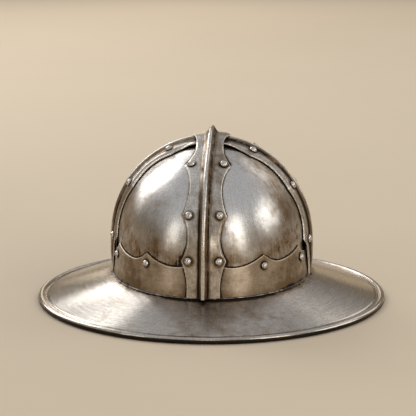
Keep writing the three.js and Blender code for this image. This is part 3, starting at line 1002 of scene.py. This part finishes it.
def rivet_object(name, seat, head, length):
    profile = rivet_profile(head, length)
    normal = skull_normal(seat)
    turned = UP.rotation_difference(normal)
    base = seat + normal * RIVET_SEAT_GAP
    points, grain, dirt_and_painted_light = [], [], []
    for r, z in profile:
        for k in range(RIVET_STEPS):
            at = 2 * math.pi * k / RIVET_STEPS
            local = Vector((r * math.cos(at), r * math.sin(at), z))
            dent = 0.0
            if z > RIVET_RIM:
                dent = RIVET_UNEVEN * noise.noise(seat * 0.37 + local * 0.45) / (head / 2)
            points.append(base + turned @ (local * (1 + dent)))
            grain.append(tuple(local * 0.6))
            # Painted shade on the lower rim of the head
            dirt_and_painted_light.append(RIVET_RIM_PAINTED_SHADE * (1 - smoothstep(z, 0.2, 1.8)))
    faces, places = [], []
    for row in range(len(profile) - 1):
        here, above = row * RIVET_STEPS, (row + 1) * RIVET_STEPS
        for k in range(RIVET_STEPS):
            j = (k + 1) % RIVET_STEPS
            faces.append([here + k, here + j, above + j, above + k])
            places += [(k, row), (k + 1, row), (k + 1, row + 1), (k, row + 1)]
    return make_object(name, points, faces, places, grain, dirt_and_painted_light)


for rivet_name, rivet_seat, rivet_head, rivet_length in RIVETS:
    piece = rivet_object(f"{rivet_name}_steel", rivet_seat, rivet_head, rivet_length)
    dress(piece, rivet_steel, "rivet_steel", rivet_name)

# Floor and lights, in metres and degrees
FLOOR_WIDTH = 18.0


def floor_object():
    half = FLOOR_WIDTH / 2
    mesh = bpy.data.meshes.new("floor")
    corners = [(-half, -half, 0), (half, -half, 0), (half, half, 0), (-half, half, 0)]
    mesh.from_pydata(corners, [], [(0, 1, 2, 3)])
    floor = bpy.data.objects.new("floor", mesh)
    bpy.context.scene.collection.objects.link(floor)
    g = Graph("pale floor")
    place = g.node("ShaderNodeTexCoord").outputs["Object"]
    cloud = g.noise(place, 3.0, detail=3)
    g.link(g.mix(cloud, (0.70, 0.59, 0.44), (0.74, 0.625, 0.475)), g.shader.inputs["Base Color"])
    g.shader.inputs["Roughness"].default_value = 0.85
    g.shader.inputs["Specular IOR Level"].default_value = 0.2
    mesh.materials.append(g.material)
    return floor


floor_object()


def direction(azimuth, elevation):
    """Unit vector from the hat: azimuth 0 is the front, 90 the wearer's left."""
    a = math.radians(azimuth)
    e = math.radians(elevation)
    return Vector((math.sin(a) * math.cos(e), -math.cos(a) * math.cos(e), math.sin(e)))


# Soft boxes by the side they light from: azimuth, lower and upper edge, width, glow, tint
SOFT_BOXES = {
    "back": (-159, 19, 39, 7, 4.0, (1, 0.99, 0.97)),
    "back left": (-133, 14, 48, 24, 3.3, (1, 1, 1)),
    "far back": (-169, 4, 18, 14, 1.0, (1, 0.88, 0.7)),
    "left": (97, 12, 34, 34, 1.9, (1, 0.98, 0.95)),
    "right back": (145, 12, 42, 22, 0.9, (1, 0.95, 0.87)),
    "front left": (45, 3, 38, 22, 2.5, (1, 0.96, 0.9)),
    "front right": (-49, 3, 34, 18, 1.35, (1, 0.95, 0.88)),
    "front": (3, 1, 20, 12, 3.4, (1, 0.94, 0.86)),
    "warm back": (178, 1, 9, 20, 0.4, (1, 0.8, 0.56)),
}
BOX_DISTANCE = 2.4
BOX_AIM = Vector((0, 0, 0.09))


def soft_box(name, azimuth, low, high, width, glow, tint):
    middle = (low + high) / 2
    place = BOX_AIM + direction(azimuth, middle) * BOX_DISTANCE
    lamp = bpy.data.lights.new(name, "AREA")
    lamp.shape = "RECTANGLE"
    lamp.size = 2 * BOX_DISTANCE * math.tan(math.radians(width / 2))
    lamp.size_y = 2 * BOX_DISTANCE * math.tan(math.radians((high - low) / 2))
    lamp.energy = glow * math.pi * lamp.size * lamp.size_y
    lamp.color = tint
    box = bpy.data.objects.new(name, lamp)
    box.location = place
    box.rotation_euler = (place - BOX_AIM).to_track_quat("Z", "Y").to_euler()
    box.visible_camera = False
    bpy.context.scene.collection.objects.link(box)


for box_name, settings in SOFT_BOXES.items():
    soft_box(box_name, *settings)

# The world's light by height: dark and warm at the horizon, pale grey above
WORLD_STOPS = [
    (0.0, (0.10, 0.07, 0.04)),
    (0.5, (0.21, 0.15, 0.085)),
    (0.62, (0.20, 0.165, 0.125)),
    (0.76, (0.44, 0.435, 0.44)),
    (0.9, (0.57, 0.575, 0.60)),
]


def build_world():
    world = bpy.data.worlds.new("studio")
    bpy.context.scene.world = world
    world.use_nodes = True
    tree = world.node_tree
    place = tree.nodes.new("ShaderNodeTexCoord")
    split = tree.nodes.new("ShaderNodeSeparateXYZ")
    level = tree.nodes.new("ShaderNodeMapRange")
    level.inputs["From Min"].default_value = -1
    ramp = tree.nodes.new("ShaderNodeValToRGB")
    elements = ramp.color_ramp.elements
    while len(elements) < len(WORLD_STOPS):
        elements.new(0.5)
    for element, (at, colour) in zip(elements, WORLD_STOPS):
        element.position = at
        element.color = (*colour, 1)
    tree.links.new(place.outputs["Generated"], split.inputs[0])
    tree.links.new(split.outputs["Z"], level.inputs["Value"])
    tree.links.new(level.outputs["Result"], ramp.inputs["Fac"])
    tree.links.new(ramp.outputs["Color"], tree.nodes["Background"].inputs["Color"])
    tree.nodes["Background"].inputs["Strength"].default_value = 1.0


build_world()

# Camera: from the front, a little to the wearer's left, as the photograph is taken
CAMERA_AZIMUTH = 4.0
CAMERA_ELEVATION = 13.4
CAMERA_DISTANCE = 2.6
CAMERA_TARGET = Vector((0, 0, 0.0653))
CAMERA_LENS = 208.7
TARGET_BELOW_CENTRE = 0.0328
TARGET_RIGHT_OF_CENTRE = 0.0039


def build_camera():
    back = direction(CAMERA_AZIMUTH, CAMERA_ELEVATION)
    side = direction(CAMERA_AZIMUTH + 90, 0)
    above = back.cross(side)
    camera = bpy.data.objects.new("camera", bpy.data.cameras.new("camera"))
    camera.location = CAMERA_TARGET + back * CAMERA_DISTANCE
    aim = CAMERA_TARGET + above * TARGET_BELOW_CENTRE - side * TARGET_RIGHT_OF_CENTRE
    camera.rotation_euler = (camera.location - aim).to_track_quat("Z", "Y").to_euler()
    camera.data.lens = CAMERA_LENS
    camera.data.sensor_width = 36
    camera.data.clip_end = 50
    bpy.context.scene.collection.objects.link(camera)
    bpy.context.scene.camera = camera


build_camera()

bpy.context.scene.view_settings.view_transform = "Standard"
